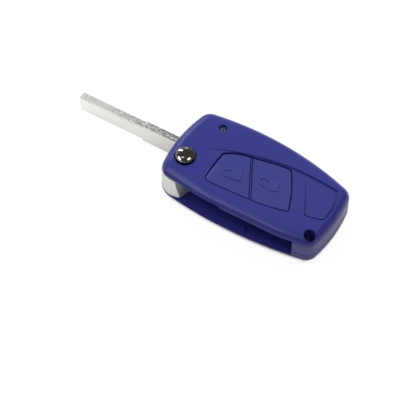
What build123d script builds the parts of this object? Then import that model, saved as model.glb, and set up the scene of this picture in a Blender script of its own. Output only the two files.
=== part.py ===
from build123d import *
from math import atan2, degrees, hypot
import os

# Flip key remote shell, blade folded out. Millimetres.
# The origin lies on the flip axis at the underside of the case.
# +X runs along the case towards the keyring hole, the blade points to -X, +Z is up.

# Case outline: how far the four curved sides reach from the flip axis
case_left = -6.9
case_right = 56.95
case_rear = 23.0
case_front = -12.4
upper_front = -11.45
upper_front_blend = 40.0
upper_corner_cut = ((-2.6, -9.35), (10.8, -11.25))
upper_corner_blend = 1.0

# How far the case corners lie inside those sides, before rounding
front_left_inset = (1.4, 2.83)
front_right_inset = (2.75, 2.78)
rear_left_inset = (3.76, 1.8)
rear_right_inset = (0.8, 6.85)
front_left_radius = 7.0
front_right_radius = 4.2
rear_left_radius = 4.6
rear_right_radius = 4.2

# Where each side bulges most
left_bulge_y = 2.15
right_bulge_y = 7.24
rear_bulge_x = 17.1
front_bulge_x = 24.65

# Case section
case_thickness = 14.0
parting_height = 4.7
wall = 1.5
top_wall = 1.6
floor_wall = 1.5
inner_wall = 1.2
top_edge_radius = 3.8
bottom_edge_radius = 2.6
parting_chamfer = 0.2

# Tongue of the lower half and rebate of the upper half
tongue_height = 1.0
tongue_inset = 0.8
tongue_gap = 0.05

# Blade slot along the front and round cavity of the key head
slot_back = -3.9
slot_end = 47.6
slot_step = 19.5
slot_step_height = 0.6
slot_floor = 2.05
cavity_radius = 10.7

# Floor relief at the tip end of the slot and its mould mark
relief_start = 29.4
relief_depth = 0.4
relief_front = -10.6
relief_front_end = -8.9
mark_y = -8.9
mark_radius = 0.8

# Keyring hole
ring_hole_x = 52.0
ring_hole_y = -6.6
ring_hole_radius = 2.05

# Key head
head_gap = 0.3
head_inset = 0.1
head_side = 8.0
head_side_end = 2.2
hub_radius = 7.4
head_edge = 0.6
head_corner = 0.8
head_blend = 5.0
facet_back = (5.0, -5.4)
facet_front = (3.4, -9.85)
facet_lean = 1.6
pivot_radius = 3.03
pivot_gap = 0.07
cup_radius = 4.5
cup_floor = 1.7

# Flip button
button_hole_radius = 3.9
button_radius = 3.4
button_rise = 1.1
button_rim = 0.5
dome_rise = 0.9
button_travel = 1.8
button_flange = 1.9
button_flange_gap = 0.08
lug_width = 2.0
lug_reach = 5.5
lug_gap = 0.15
lock_recess_radius = 5.9
lock_recess_depth = 0.75
spigot_radius = 3.05
spigot_length = 1.6

# Flip spring
spring_radius = 3.8
wire_radius = 0.32
spring_half_turns = 9
spring_gap = 0.03

# Blade
blade_tip = -46.0
blade_shoulder = -19.9
blade_shoulder_length = 0.7
blade_shoulder_drop = 0.45
blade_offset = 6.0
blade_thickness = 3.1
blade_height = 7.4
blade_lift = 0.2
blade_root_thickness = 3.3
blade_root_height = 8.7
blade_edge_chamfer = 0.4
blade_tip_chamfer = 0.6
blade_mouth = -5.9
tang_end = 3.0
tang_thickness = 2.0
tang_height = 5.6
tang_step = 0.2
pocket_gap = 0.05
pin_radius = 0.8
pin_wall = 0.3
pin_x = -1.8
pin_length = 3.3

# Button field: a shallow scoop that deepens towards its rear edge
field_depth = 0.6
field_hinge_left = (3.0, 4.9)
field_hinge_right = (47.2, -0.9)
field_deepest = (33.4, 13.8)
field_ridge = ((9.8, 8.55), (19.7, 11.75), (33.4, 14.1), (45.1, 14.15), (52.2, 13.6))
field_right_middle = (53.5, 8.0)
field_corner = (53.1, 1.2)
panel_left = ((39.8, 13.4), (43.7, 6.0), (46.9, -0.6))
panel_front = ((46.9, -0.6), (50.3, -0.25), (53.4, 1.0))
panel_right = ((53.4, 1.0), (53.9, 5.8), (53.2, 10.6))
groove_depth = 0.7
groove_width = 0.36

# Lock and unlock buttons
lock_front = (10.05, -5.2)
lock_rear = (10.55, 7.6)
unlock_rear = (34.4, 13.65)
unlock_front = (41.7, -2.35)
divider_rear = (20.1, 11.2)
divider_front = (27.95, -4.65)
divider = 0.4
divider_gap = 0.2
divider_notch = 0.5
lock_front_radius = 1.8
key_corner_radius = 0.9
lock_left_bulge = 0.35
lock_rear_bulge = 0.87
lock_front_bulge = 0.11
unlock_rear_bulge = 0.41
unlock_right_bulge = 0.67
unlock_front_bulge = 0.37
key_gap = 0.4
key_edge = 0.25
key_roll_width = 2.2
key_roll_drop = 0.45
key_sink = 0.05
key_plate = 0.9
key_ledge = 0.65
key_drop = 1.1
key_lip = 0.6
key_tab = 3.0

# Silicone pad under the buttons
pad_thickness = 0.7
pad_dome_height = 0.9
pad_dome_radius = 3.0
pad_dome_taper = 35.0
dome_places = ((18.3, 3.5), (31.2, 5.0))
pad_margin = 2.6
pad_inset = 0.4
peg_places = ((13.6, 11.9), (25.0, 14.4), (42.2, 4.5))
peg_radius = 0.8
peg_gap = 0.05
peg_head = 0.5

# Indicator lens
lens_x = 5.73
lens_y = 16.5
lens_radius = 1.28
lens_gap = 0.12
lens_rim = 0.2
lens_recess = 0.5
lens_crown = 0.4
lens_flange = 0.7
lens_flange_thickness = 0.65
lens_stem = 1.8

# Battery tray and its quarter-turn lock
tray_rim = 0.4
tray_gap = 0.15
tray_lift = 0.1
tray_plate_height = 5.4
tray_plate_thickness = 1.5
cell_radius = 10.15
cell_x = 34.0
cradle_wall = 0.95
cradle_height = 3.9
cradle_floor = 0.8
cradle_neck = 16.0
cell_ledge = 3.0
contact_gap = 5.0
tray_corner = 0.4
lock_rim = 1.0
lock_side = 1.3
lock_gap = 0.05
lock_head_radius = 2.1
lock_head_thickness = 0.9
lock_slot_width = 0.7
lock_slot_depth = 0.5
lock_shank_radius = 1.0
lock_shank_gap = 0.06
cam_length = 3.6
cam_width = 2.0
cam_thickness = 0.9

# Rails and guides of the tray, board rests and locating posts inside the case
rail_offset = 6.0
rail_width = 1.2
rail_length = 19.0
guide_width = 0.9
guide_length = 8.0
guide_height = 3.2
rest_places = ((14.5, 0.5), (14.5, 18.2), (49.2, 1.5), (49.2, 13.6))
rest_radius = 0.9
board_seat = 8.3
post_places = ((-0.6, 17.0), (52.0, 7.0))
post_radius = 1.6
post_pin_radius = 0.85
post_pin_length = 2.0
post_gap = 0.05
post_top = 7.0


def bulged(start, bulge, end):
    """Start, middle and end of an arc that stands out to the left of its chord by a bulge."""
    along_x = end[0] - start[0]
    along_y = end[1] - start[1]
    length = hypot(along_x, along_y)
    middle_x = (start[0] + end[0]) / 2 - bulge * along_y / length
    middle_y = (start[1] + end[1]) / 2 + bulge * along_x / length
    return start, (middle_x, middle_y), end


# Corners and sides of the case and of the two button openings
front_left = (case_left + front_left_inset[0], case_front + front_left_inset[1])
front_right = (case_right - front_right_inset[0], case_front + front_right_inset[1])
rear_left = (case_left + rear_left_inset[0], case_rear - rear_left_inset[1])
rear_right = (case_right - rear_right_inset[0], case_rear - rear_right_inset[1])
case_sides = (
    (front_right, (front_bulge_x, case_front), front_left),
    (front_left, (case_left, left_bulge_y), rear_left),
    (rear_left, (rear_bulge_x, case_rear), rear_right),
    (rear_right, (case_right, right_bulge_y), front_right),
)
case_roundings = (
    (front_left, front_left_radius),
    (front_right, front_right_radius),
    (rear_left, rear_left_radius),
    (rear_right, rear_right_radius),
)
lock_sides = (
    bulged(lock_front, lock_left_bulge, lock_rear),
    bulged(lock_rear, lock_rear_bulge, divider_rear),
    bulged(divider_front, lock_front_bulge, lock_front),
)
lock_roundings = ((lock_front, lock_front_radius), (lock_rear, key_corner_radius))
unlock_sides = (
    bulged(divider_rear, unlock_rear_bulge, unlock_rear),
    bulged(unlock_rear, unlock_right_bulge, unlock_front),
    bulged(unlock_front, unlock_front_bulge, divider_front),
)
unlock_roundings = ((unlock_rear, key_corner_radius), (unlock_front, key_corner_radius))

# Values that follow from the sizes above
reach = 3 * (case_right - case_left)
slot_top = case_thickness - slot_floor
bay_front = slot_back + inner_wall
bay_top = case_thickness - top_wall
bay_ring = cavity_radius + inner_wall
mid_height = case_thickness / 2
narrow_floor = slot_floor + slot_step_height
narrow_top = slot_top - slot_step_height
head_bottom = slot_floor + head_gap
head_top = slot_top - head_gap
cup_bottom = head_bottom + cup_floor
flange_top = slot_top + lock_recess_depth - lug_gap
flange_bottom = flange_top - button_flange
tray_bottom = narrow_floor + tray_lift
window_top = tray_bottom + tray_plate_height + tray_gap
cell_y = slot_back + tray_plate_thickness + cell_radius
key_bottom = bay_top - key_drop
pad_top = key_bottom - pad_dome_height
pad_bottom = pad_top - pad_thickness
lock_z = tray_bottom + tray_plate_height / 2
cradle_radius = cell_radius + cradle_wall
lock_x = cell_x - cradle_radius - lock_side
tray_left = lock_x - lock_head_radius - lock_rim
tray_right = cell_x + cradle_radius + tray_rim
tray_middle = (tray_left + tray_right) / 2
window_width = tray_right - tray_left + 2 * tray_gap
guide_offset = cradle_radius + tray_gap + guide_width / 2
cam_front = slot_back + tray_plate_thickness + lock_gap
key_seat = case_thickness - key_plate - key_ledge
lens_hole = lens_radius + lens_gap
lens_flange_bottom = bay_top - tongue_gap - lens_flange_thickness
spring_step = (flange_bottom - cup_bottom - 2 * (wire_radius + spring_gap)) / spring_half_turns
head_radius = cavity_radius - head_gap - head_inset
keyway_depth = head_top - flange_bottom + button_travel + lug_gap
tang_offset = blade_offset + blade_root_thickness / 2 - tang_step - tang_thickness / 2


def rounded_outline(sides, roundings, inset=0.0):
    """The area inside bulging sides, each through three points, with some corners rounded."""
    with BuildSketch() as plan:
        Rectangle(reach, reach)
        for start, middle, end in sides:
            side = ThreePointArc(start, middle, end)
            with Locations(side.arc_center):
                Circle(side.radius - inset, mode=Mode.INTERSECT)
        for corner, radius in roundings:
            fillet(plan.vertices().sort_by_distance(corner)[0], radius - inset)
    return plan.sketch


def case_outline(inset=0.0):
    """The case seen from above, moved inwards by an inset."""
    return rounded_outline(case_sides, case_roundings, inset)


def bay_side(inset, clearance=0.0):
    """The inset outline behind the blade slot and outside the wall of the head cavity."""
    with BuildSketch() as plan:
        add(case_outline(inset))
        with Locations((0, bay_front + clearance)):
            Rectangle(reach, reach, align=(Align.CENTER, Align.MAX), mode=Mode.SUBTRACT)
        Circle(bay_ring + clearance, mode=Mode.SUBTRACT)
    return plan.sketch


def slot_plan(end):
    """The blade slot up to one end, with the round cavity of the key head."""
    with BuildSketch() as plan:
        with Locations((end, slot_back)):
            Rectangle(reach, reach, align=(Align.MAX, Align.MAX))
        Circle(cavity_radius)
    return plan.sketch


def tongue_plan(inset):
    """The strip of wall between the bay and a line inset from the outside."""
    with BuildSketch() as plan:
        add(bay_side(inset))
        add(bay_side(wall), mode=Mode.SUBTRACT)
    return plan.sketch


def direction(start, end):
    """The angle of the line from one point to another, in degrees."""
    return degrees(atan2(end[1] - start[1], end[0] - start[0]))


def beside_divider(side, inset):
    """The half of the button field on one side of the divider, where the gap is narrower."""
    offset = divider / 2 + min(inset, divider_gap)
    with BuildSketch() as plan:
        with Locations(Location(divider_rear, direction(divider_rear, divider_front))):
            with Locations((0, side * offset)):
                Rectangle(reach, reach, align=(Align.CENTER, Align.MIN if side > 0 else Align.MAX))
    return plan.sketch


def lock_opening(inset=0.0):
    """Opening of the lock button, moved inwards by an inset."""
    with BuildSketch() as plan:
        add(rounded_outline(lock_sides, lock_roundings, inset))
        add(beside_divider(-1, inset), mode=Mode.INTERSECT)
    return plan.sketch


def unlock_opening(inset=0.0):
    """Opening of the unlock button, moved inwards by an inset."""
    with BuildSketch() as plan:
        add(rounded_outline(unlock_sides, unlock_roundings, inset))
        add(beside_divider(1, inset), mode=Mode.INTERSECT)
    return plan.sketch


def key_core(opening, inset):
    """The part of a button opening that lies over the bay and goes right through the top."""
    with BuildSketch() as plan:
        add(opening(inset))
        with Locations((0, bay_front + key_gap + inset)):
            Rectangle(reach, reach, align=(Align.CENTER, Align.MAX), mode=Mode.SUBTRACT)
        Circle(bay_ring + key_gap + inset, mode=Mode.SUBTRACT)
    return plan.sketch


def cap_radius(half_width, rise):
    """Radius of a spherical cap with a given half width and rise."""
    return (half_width**2 + rise**2) / (2 * rise)


def hinged_plane(left, right, deep, depth):
    """A plane through two points of the top face that sinks to a depth at a third."""
    along_x = right[0] - left[0]
    along_y = right[1] - left[1]
    length = hypot(along_x, along_y)
    distance = ((deep[1] - left[1]) * along_x - (deep[0] - left[0]) * along_y) / length
    slope = depth / distance
    normal = (-slope * along_y / length, slope * along_x / length, 1)
    return Plane(origin=(left[0], left[1], case_thickness), x_dir=(along_x, along_y, 0), z_dir=normal)


def on_plane(plane, place):
    """The point of a plane above or below a place of the plan."""
    normal = plane.z_dir
    run = (place[0] - plane.origin.X) * normal.X + (place[1] - plane.origin.Y) * normal.Y
    return Vector(place[0], place[1], plane.origin.Z - run / normal.Z)


def space_above(plane, lift=0.0):
    """Everything above a plane of the top face."""
    with BuildPart() as block:
        with BuildSketch(plane.offset(lift)):
            Rectangle(reach, reach)
        extrude(amount=case_thickness)
    return block.part


def space_before_facet():
    """The space before the key head's facet, which leans back, up to the round hub."""
    run = Vector(facet_back[0] - facet_front[0], facet_back[1] - facet_front[1])
    up = Vector(0, 0, 1)
    with BuildPart() as space:
        with BuildSketch(Plane((*facet_front, head_bottom), x_dir=run.cross(up), z_dir=-run)):
            with BuildLine():
                Polyline(
                    (0, 0),
                    (facet_lean, 0),
                    (facet_lean, case_thickness),
                    (-facet_lean, head_top - head_bottom),
                    close=True,
                )
            make_face()
        extrude(amount=run.length, both=True)
        with BuildSketch():
            Circle(hub_radius)
        extrude(amount=case_thickness, mode=Mode.SUBTRACT)
    return space.part


field_plane = hinged_plane(field_hinge_left, field_hinge_right, field_deepest, field_depth)
key_face = hinged_plane(lock_front, unlock_front, unlock_rear, field_depth).offset(-key_sink)


# Upper half of the case
with BuildPart() as upper_case:
    with BuildSketch(Plane.XY.offset(parting_height)) as upper_plan:
        add(case_outline())
        with Locations((0, upper_front)):
            Rectangle(reach, reach, align=(Align.CENTER, Align.MAX), mode=Mode.SUBTRACT)
        # The corner over the key head is set back
        with Locations(Location(upper_corner_cut[0], direction(*upper_corner_cut))):
            Rectangle(reach, reach, align=(Align.CENTER, Align.MAX), mode=Mode.SUBTRACT)
        fillet(upper_plan.vertices().sort_by_distance(upper_corner_cut[0])[0], upper_corner_blend)
        # The straight front edge runs smoothly into its neighbours
        fillet(upper_plan.vertices().group_by(Axis.Y)[0], upper_front_blend)
    extrude(amount=case_thickness - parting_height)
    fillet(upper_case.faces().sort_by(Axis.Z)[-1].edges(), top_edge_radius)
    chamfer(upper_case.faces().sort_by(Axis.Z)[0].edges(), parting_chamfer)
    # Bay for the board, and the rebate that takes the tongue
    with BuildSketch(Plane.XY.offset(parting_height)):
        add(bay_side(wall))
    extrude(amount=bay_top - parting_height, mode=Mode.SUBTRACT)
    with BuildSketch(Plane.XY.offset(parting_height)):
        add(tongue_plan(tongue_inset - tongue_gap))
    extrude(amount=tongue_height + tongue_gap, mode=Mode.SUBTRACT)
    # Blade slot, taller beside the blade's root
    with BuildSketch(Plane.XY.offset(parting_height)):
        add(slot_plan(slot_step))
    extrude(amount=slot_top - parting_height, mode=Mode.SUBTRACT)
    with BuildSketch(Plane.XY.offset(parting_height)):
        add(slot_plan(slot_end))
    extrude(amount=narrow_top - parting_height, mode=Mode.SUBTRACT)
    # Window of the battery tray
    with BuildSketch(Plane.XZ.offset(-slot_back)):
        with Locations((tray_middle, window_top)):
            Rectangle(window_width, window_top, align=(Align.CENTER, Align.MAX))
    extrude(amount=-inner_wall, mode=Mode.SUBTRACT)
    # Locking recess and hole of the flip button
    with BuildSketch(Plane.XY.offset(slot_top)):
        Circle(lock_recess_radius)
    extrude(amount=lock_recess_depth, mode=Mode.SUBTRACT)
    with Locations((0, 0, case_thickness)):
        Hole(button_hole_radius, depth=case_thickness - slot_top)
    # Scooped field around the buttons
    with BuildSketch(Plane.XY.offset(bay_top)):
        with BuildLine():
            Spline(field_hinge_left, *field_ridge)
            ThreePointArc(field_ridge[-1], field_right_middle, field_corner)
            Polyline(field_corner, field_hinge_right, field_hinge_left)
        make_face()
    field_block = extrude(amount=case_thickness, mode=Mode.PRIVATE)
    add(field_block & space_above(field_plane), mode=Mode.SUBTRACT)
    # Button openings: a shallow seat all round, open to the bay behind
    for opening in (lock_opening, unlock_opening):
        with BuildSketch(Plane.XY.offset(key_seat)):
            add(opening())
        extrude(amount=case_thickness, mode=Mode.SUBTRACT)
        with BuildSketch(Plane.XY.offset(bay_top)):
            add(key_core(opening, 0))
        extrude(amount=case_thickness, mode=Mode.SUBTRACT)
    # The divider ends short of the field's rear wall
    with BuildSketch(Plane.XY.offset(key_seat)):
        with Locations(divider_rear):
            Circle(divider_notch)
    extrude(amount=case_thickness, mode=Mode.SUBTRACT)
    # Groove round the blank panel
    with BuildLine(Plane.XY.offset(case_thickness - groove_depth)) as panel_line:
        ThreePointArc(*panel_left)
        ThreePointArc(*panel_front)
        ThreePointArc(*panel_right)
    with BuildSketch(Plane.XY.offset(case_thickness - groove_depth)):
        trace(panel_line.line, line_width=groove_width)
    extrude(amount=case_thickness, mode=Mode.SUBTRACT)
    # Hole of the indicator lens
    with Locations((lens_x, lens_y, case_thickness)):
        CounterSinkHole(lens_hole, lens_hole + lens_rim, depth=2 * top_wall)
    # Pegs that hold the pad, their ends swaged over it
    with BuildSketch(Plane.XY.offset(pad_bottom)):
        with Locations(*peg_places):
            Circle(peg_radius)
    extrude(amount=bay_top - pad_bottom)
    with BuildSketch(Plane.XY.offset(pad_bottom)):
        with Locations(*peg_places):
            Circle(peg_radius + peg_head)
    extrude(amount=-peg_head)
    # Locating pins that enter the posts of the lower half
    with BuildSketch(Plane.XY.offset(post_top + post_gap)):
        with Locations(*post_places):
            Circle(post_radius)
    extrude(amount=bay_top - post_top - post_gap)
    with BuildSketch(Plane.XY.offset(post_top + post_gap)):
        with Locations(*post_places):
            Circle(post_pin_radius)
    extrude(amount=-post_pin_length)
    # Keyring hole
    with Locations((ring_hole_x, ring_hole_y, case_thickness)):
        Hole(ring_hole_radius, depth=2 * case_thickness)
upper_case.part.label = "upper_case"


# Lower half of the case
with BuildPart() as lower_case:
    with BuildSketch():
        add(case_outline())
    extrude(amount=parting_height)
    fillet(lower_case.faces().sort_by(Axis.Z)[0].edges(), bottom_edge_radius)
    chamfer(lower_case.faces().sort_by(Axis.Z)[-1].edges(), parting_chamfer)
    # Bay for the tray, and the tongue round its edge
    with BuildSketch(Plane.XY.offset(floor_wall)):
        add(bay_side(wall))
    extrude(amount=parting_height, mode=Mode.SUBTRACT)
    with BuildSketch(Plane.XY.offset(parting_height)):
        add(tongue_plan(tongue_inset))
    extrude(amount=tongue_height)
    # Blade slot, deeper beside the blade's root
    with BuildSketch(Plane.XY.offset(slot_floor)):
        add(slot_plan(slot_step))
    extrude(amount=parting_height + tongue_height, mode=Mode.SUBTRACT)
    with BuildSketch(Plane.XY.offset(narrow_floor)):
        add(slot_plan(slot_end))
    extrude(amount=parting_height + tongue_height, mode=Mode.SUBTRACT)
    # Relief at the tip end of the slot, with the round mark at its start
    with BuildSketch(Plane.XY.offset(narrow_floor - relief_depth)):
        with BuildLine():
            Polyline((relief_start, slot_back), (relief_start, relief_front), (slot_end, relief_front_end))
            Polyline((slot_end, relief_front_end), (slot_end, slot_back), (relief_start, slot_back))
        make_face()
    extrude(amount=parting_height, mode=Mode.SUBTRACT)
    with Locations((relief_start, mark_y, narrow_floor)):
        Hole(mark_radius, depth=2 * relief_depth)
    # Window of the battery tray
    with BuildSketch(Plane.XZ.offset(-slot_back)):
        with Locations((tray_middle, narrow_floor)):
            Rectangle(window_width, window_top, align=(Align.CENTER, Align.MIN))
    extrude(amount=-inner_wall, mode=Mode.SUBTRACT)
    # Rails under the tray and guides beside it
    with BuildSketch(Plane.XY.offset(floor_wall)):
        with Locations(*[(cell_x + side * rail_offset, bay_front) for side in (-1, 1)]):
            Rectangle(rail_width, rail_length, align=(Align.CENTER, Align.MIN))
    extrude(amount=narrow_floor - floor_wall)
    with BuildSketch(Plane.XY.offset(floor_wall)):
        with Locations((cell_x - guide_offset, cell_y), (cell_x + guide_offset, cell_y)):
            Rectangle(guide_width, guide_length)
    extrude(amount=guide_height)
    # Rests for the board
    with BuildSketch(Plane.XY.offset(floor_wall)):
        with Locations(*rest_places):
            Circle(rest_radius)
    extrude(amount=board_seat - floor_wall)
    # Posts that take the pins of the upper half
    with BuildSketch(Plane.XY.offset(floor_wall)):
        with Locations(*post_places):
            Circle(post_radius)
            Circle(post_pin_radius + post_gap, mode=Mode.SUBTRACT)
    extrude(amount=post_top - floor_wall)
    # Pivot of the key head
    with BuildSketch(Plane.XY.offset(floor_wall)):
        Circle(pivot_radius)
    extrude(amount=cup_bottom - floor_wall - pivot_gap)
    # Keyring hole
    with Locations((ring_hole_x, ring_hole_y, parting_height)):
        Hole(ring_hole_radius, depth=2 * parting_height)
lower_case.part.label = "lower_case"


# Lock and unlock buttons: a thin face plate on a core that reaches into the bay
def button_cap(opening, tab_sides, rolled_side=None):
    """One button with retaining tabs at some sides; its top may roll down to one side."""
    with BuildPart() as cap:
        with BuildSketch(Plane.XY.offset(case_thickness - key_plate)):
            add(opening(key_gap))
        extrude(amount=key_plate + field_depth)
        split(bisect_by=key_face, keep=Keep.BOTTOM)
        fillet(cap.faces().sort_by(Axis.Z)[-1].edges(), key_edge)
        if rolled_side:
            start = on_plane(key_face, rolled_side[0])
            along = on_plane(key_face, rolled_side[-1]) - start
            roll_radius = cap_radius(key_roll_width + key_gap, key_roll_drop)
            with BuildSketch(Plane(start, x_dir=along.cross(key_face.z_dir), z_dir=-along)):
                with BuildLine():
                    RadiusArc((-key_gap, -key_roll_drop), (key_roll_width, 0), roll_radius)
                    Polyline((key_roll_width, 0), (reach, 0), (reach, -key_plate - field_depth))
                    Polyline(
                        (reach, -key_plate - field_depth),
                        (-key_gap, -key_plate - field_depth),
                        (-key_gap, -key_roll_drop),
                    )
                make_face()
            extrude(amount=reach, both=True, mode=Mode.INTERSECT)
        with BuildSketch(Plane.XY.offset(key_bottom)):
            add(key_core(opening, key_gap))
        extrude(amount=case_thickness - key_plate - key_bottom)
        with BuildSketch(Plane.XY.offset(key_bottom)):
            for start, middle, end in tab_sides:
                with Locations(Location(middle, direction(start, end))):
                    Rectangle(key_tab, 2 * key_lip)
        extrude(amount=bay_top - key_bottom - key_gap)
    return cap


lock_button = button_cap(lock_opening, lock_sides[1:2], lock_sides[0])
lock_button.part.label = "lock_button"
unlock_button = button_cap(unlock_opening, unlock_sides[0:2])
unlock_button.part.label = "unlock_button"


# Silicone pad with a sprung dome under each button
with BuildPart() as button_pad:
    with BuildSketch(Plane.XY.offset(pad_bottom)):
        add(lock_opening(-pad_margin))
        add(unlock_opening(-pad_margin))
        add(bay_side(wall + pad_inset, pad_inset), mode=Mode.INTERSECT)
        with Locations(*peg_places):
            Circle(peg_radius + peg_gap, mode=Mode.SUBTRACT)
    extrude(amount=pad_thickness)
    with BuildSketch(Plane.XY.offset(pad_top)):
        with Locations(*dome_places):
            Circle(pad_dome_radius)
    extrude(amount=pad_dome_height, taper=pad_dome_taper)
button_pad.part.label = "button_pad"


# Smoked lens of the indicator: a light pipe with a flange under the top
with BuildPart() as led_lens:
    with BuildSketch(Plane.XZ):
        with BuildLine():
            Polyline(
                (0, lens_flange_bottom - lens_stem),
                (lens_radius / 2, lens_flange_bottom - lens_stem),
                (lens_radius, lens_flange_bottom),
                (lens_radius + lens_flange, lens_flange_bottom),
                (lens_radius + lens_flange, bay_top - tongue_gap),
                (lens_radius, bay_top - tongue_gap),
                (lens_radius, case_thickness - lens_recess - lens_crown),
            )
            RadiusArc(
                (lens_radius, case_thickness - lens_recess - lens_crown),
                (0, case_thickness - lens_recess),
                -cap_radius(lens_radius, lens_crown),
            )
            Line((0, case_thickness - lens_recess), (0, lens_flange_bottom - lens_stem))
        make_face()
    revolve(axis=Axis.Z)
led_lens.part = Pos(lens_x, lens_y, 0) * led_lens.part
led_lens.part.label = "led_lens"


# Flip button: a chromed dome, its locking lugs and the spigot that centres the spring
with BuildPart() as flip_button:
    with BuildSketch(Plane.XZ) as button_section:
        with BuildLine():
            Polyline(
                (0, flange_bottom - spigot_length),
                (spigot_radius, flange_bottom - spigot_length),
                (spigot_radius, flange_bottom),
                (cup_radius - button_flange_gap, flange_bottom),
                (cup_radius - button_flange_gap, flange_top),
                (button_radius, flange_top),
                (button_radius, case_thickness + button_rise),
            )
            RadiusArc(
                (button_radius, case_thickness + button_rise),
                (0, case_thickness + button_rise + dome_rise),
                -cap_radius(button_radius, dome_rise),
            )
            Line((0, case_thickness + button_rise + dome_rise), (0, flange_bottom - spigot_length))
        make_face()
        rim_point = (button_radius, case_thickness + button_rise)
        fillet(button_section.vertices().sort_by_distance(rim_point)[0], button_rim)
    revolve(axis=Axis.Z)
    with BuildSketch(Plane.XY.offset(flange_bottom)):
        Rectangle(2 * lug_reach, lug_width)
    extrude(amount=flange_top - flange_bottom)
flip_button.part.label = "flip_button"


# Coil spring in the cup of the key head: level half turns that rise by a step each
with BuildPart() as flip_spring:
    with BuildLine(Plane.XY.offset(cup_bottom + wire_radius + spring_gap)) as coil:
        for half_turn in range(spring_half_turns):
            side = spring_radius if half_turn % 2 == 0 else -spring_radius
            ThreePointArc(
                (side, 0, half_turn * spring_step),
                (0, side, (half_turn + 0.5) * spring_step),
                (-side, 0, (half_turn + 1) * spring_step),
            )
    with BuildSketch(Plane(origin=coil.line @ 0, z_dir=coil.line % 0)):
        Circle(wire_radius)
    sweep(path=coil.line)
flip_spring.part.label = "flip_spring"


# Key head, die-cast: it fills the open corner of the case and carries the blade
with BuildPart() as key_head:
    with BuildSketch(Plane.XY.offset(head_bottom)) as head_plan:
        with BuildLine():
            Polyline(
                (-reach, head_side),
                (head_side_end, head_side),
                facet_back,
                facet_front,
                (facet_front[0], -reach),
                (-reach, -reach),
                close=True,
            )
        make_face()
        Circle(hub_radius)
        Circle(head_radius, mode=Mode.INTERSECT)
        add(case_outline(head_inset), mode=Mode.INTERSECT)
        fillet(head_plan.vertices().sort_by_distance(facet_front)[0], head_corner)
        fillet(head_plan.vertices().sort_by_distance((case_left, head_side))[0], head_corner)
        # Where the round of the cavity meets the corner of the case
        meeting = head_plan.vertices().filter_by(lambda v: v.X < 0 and v.Y < -hub_radius)
        fillet(meeting.filter_by(lambda v: abs(hypot(v.X, v.Y) - head_radius) < head_inset), head_blend)
    extrude(amount=head_top - head_bottom)
    fillet(key_head.faces().sort_by(Axis.Z)[-1].edges(), head_edge)
    fillet(key_head.faces().sort_by(Axis.Z)[0].edges(), head_edge)
    add(space_before_facet(), mode=Mode.SUBTRACT)
    # Cup for the spring, bore for the pivot and keyways for the lugs
    with Locations((0, 0, head_top)):
        CounterBoreHole(pivot_radius + pivot_gap, cup_radius, head_top - cup_bottom)
    with BuildSketch(Plane.XY.offset(head_top)):
        Rectangle(2 * (lug_reach + lug_gap), lug_width + 2 * lug_gap)
    extrude(amount=-keyway_depth, mode=Mode.SUBTRACT)
    # Mouth and pocket for the blade
    with BuildSketch(Plane.YZ.offset(blade_mouth)):
        with Locations((blade_offset, mid_height)):
            Rectangle(blade_root_thickness + 2 * pocket_gap, reach)
    extrude(amount=-reach, mode=Mode.SUBTRACT)
    with BuildSketch(Plane.YZ.offset(blade_mouth)):
        with Locations((tang_offset, mid_height)):
            Rectangle(tang_thickness + 2 * pocket_gap, tang_height + 2 * pocket_gap)
    extrude(amount=tang_end - blade_mouth + pocket_gap, mode=Mode.SUBTRACT)
    # Hole for the roll pin
    with BuildSketch(Plane.XZ.offset(-head_side)):
        with Locations((pin_x, mid_height)):
            Circle(pin_radius)
    extrude(amount=pin_length, mode=Mode.SUBTRACT)
key_head.part.label = "key_head"


# Blade blank: a wider root, a plain shank and a tang inside the head
with BuildPart() as blade:
    with BuildSketch(Plane.YZ.offset(blade_mouth)) as root_section:
        with Locations((blade_offset, mid_height)):
            Rectangle(blade_root_thickness, blade_root_height)
        chamfer(root_section.vertices(), blade_edge_chamfer)
    extrude(amount=blade_shoulder - blade_mouth)
    # The root slopes down to the shank above and below
    with BuildSketch(Plane((0, 0, mid_height), x_dir=(1, 0, 0), z_dir=(0, -1, 0))):
        with BuildLine():
            Polyline(
                (blade_mouth, 0),
                (blade_mouth, blade_root_height / 2),
                (blade_shoulder + blade_shoulder_length, blade_root_height / 2),
                (blade_shoulder, blade_root_height / 2 - blade_shoulder_drop),
                (blade_shoulder, 0),
                close=True,
            )
        make_face()
        mirror(about=Plane.XZ)
    extrude(amount=reach, both=True, mode=Mode.INTERSECT)
    with BuildSketch(Plane.YZ.offset(blade_mouth)):
        with Locations((tang_offset, mid_height)):
            Rectangle(tang_thickness, tang_height)
    extrude(amount=tang_end - blade_mouth)
    with BuildSketch(Plane.XZ.offset(-head_side)):
        with Locations((pin_x, mid_height)):
            Circle(pin_radius)
    extrude(amount=pin_length, mode=Mode.SUBTRACT)
    with BuildSketch(Plane.YZ.offset(blade_shoulder)) as shank_section:
        with Locations((blade_offset, mid_height + blade_lift)):
            Rectangle(blade_thickness, blade_height)
        chamfer(shank_section.vertices(), blade_edge_chamfer)
    extrude(amount=blade_tip - blade_shoulder)
    chamfer(blade.faces().sort_by(Axis.X)[0].edges(), blade_tip_chamfer)
blade.part.label = "blade"


# Roll pin through the head and the tang
with BuildPart() as blade_pin:
    with BuildSketch(Plane.XZ.offset(-head_side)):
        with Locations((pin_x, mid_height)):
            Circle(pin_radius)
            Circle(pin_radius - pin_wall, mode=Mode.SUBTRACT)
            Rectangle(2 * pin_radius, pin_wall, align=(Align.MIN, Align.CENTER), mode=Mode.SUBTRACT)
    extrude(amount=pin_length)
blade_pin.part.label = "blade_pin"


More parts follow.
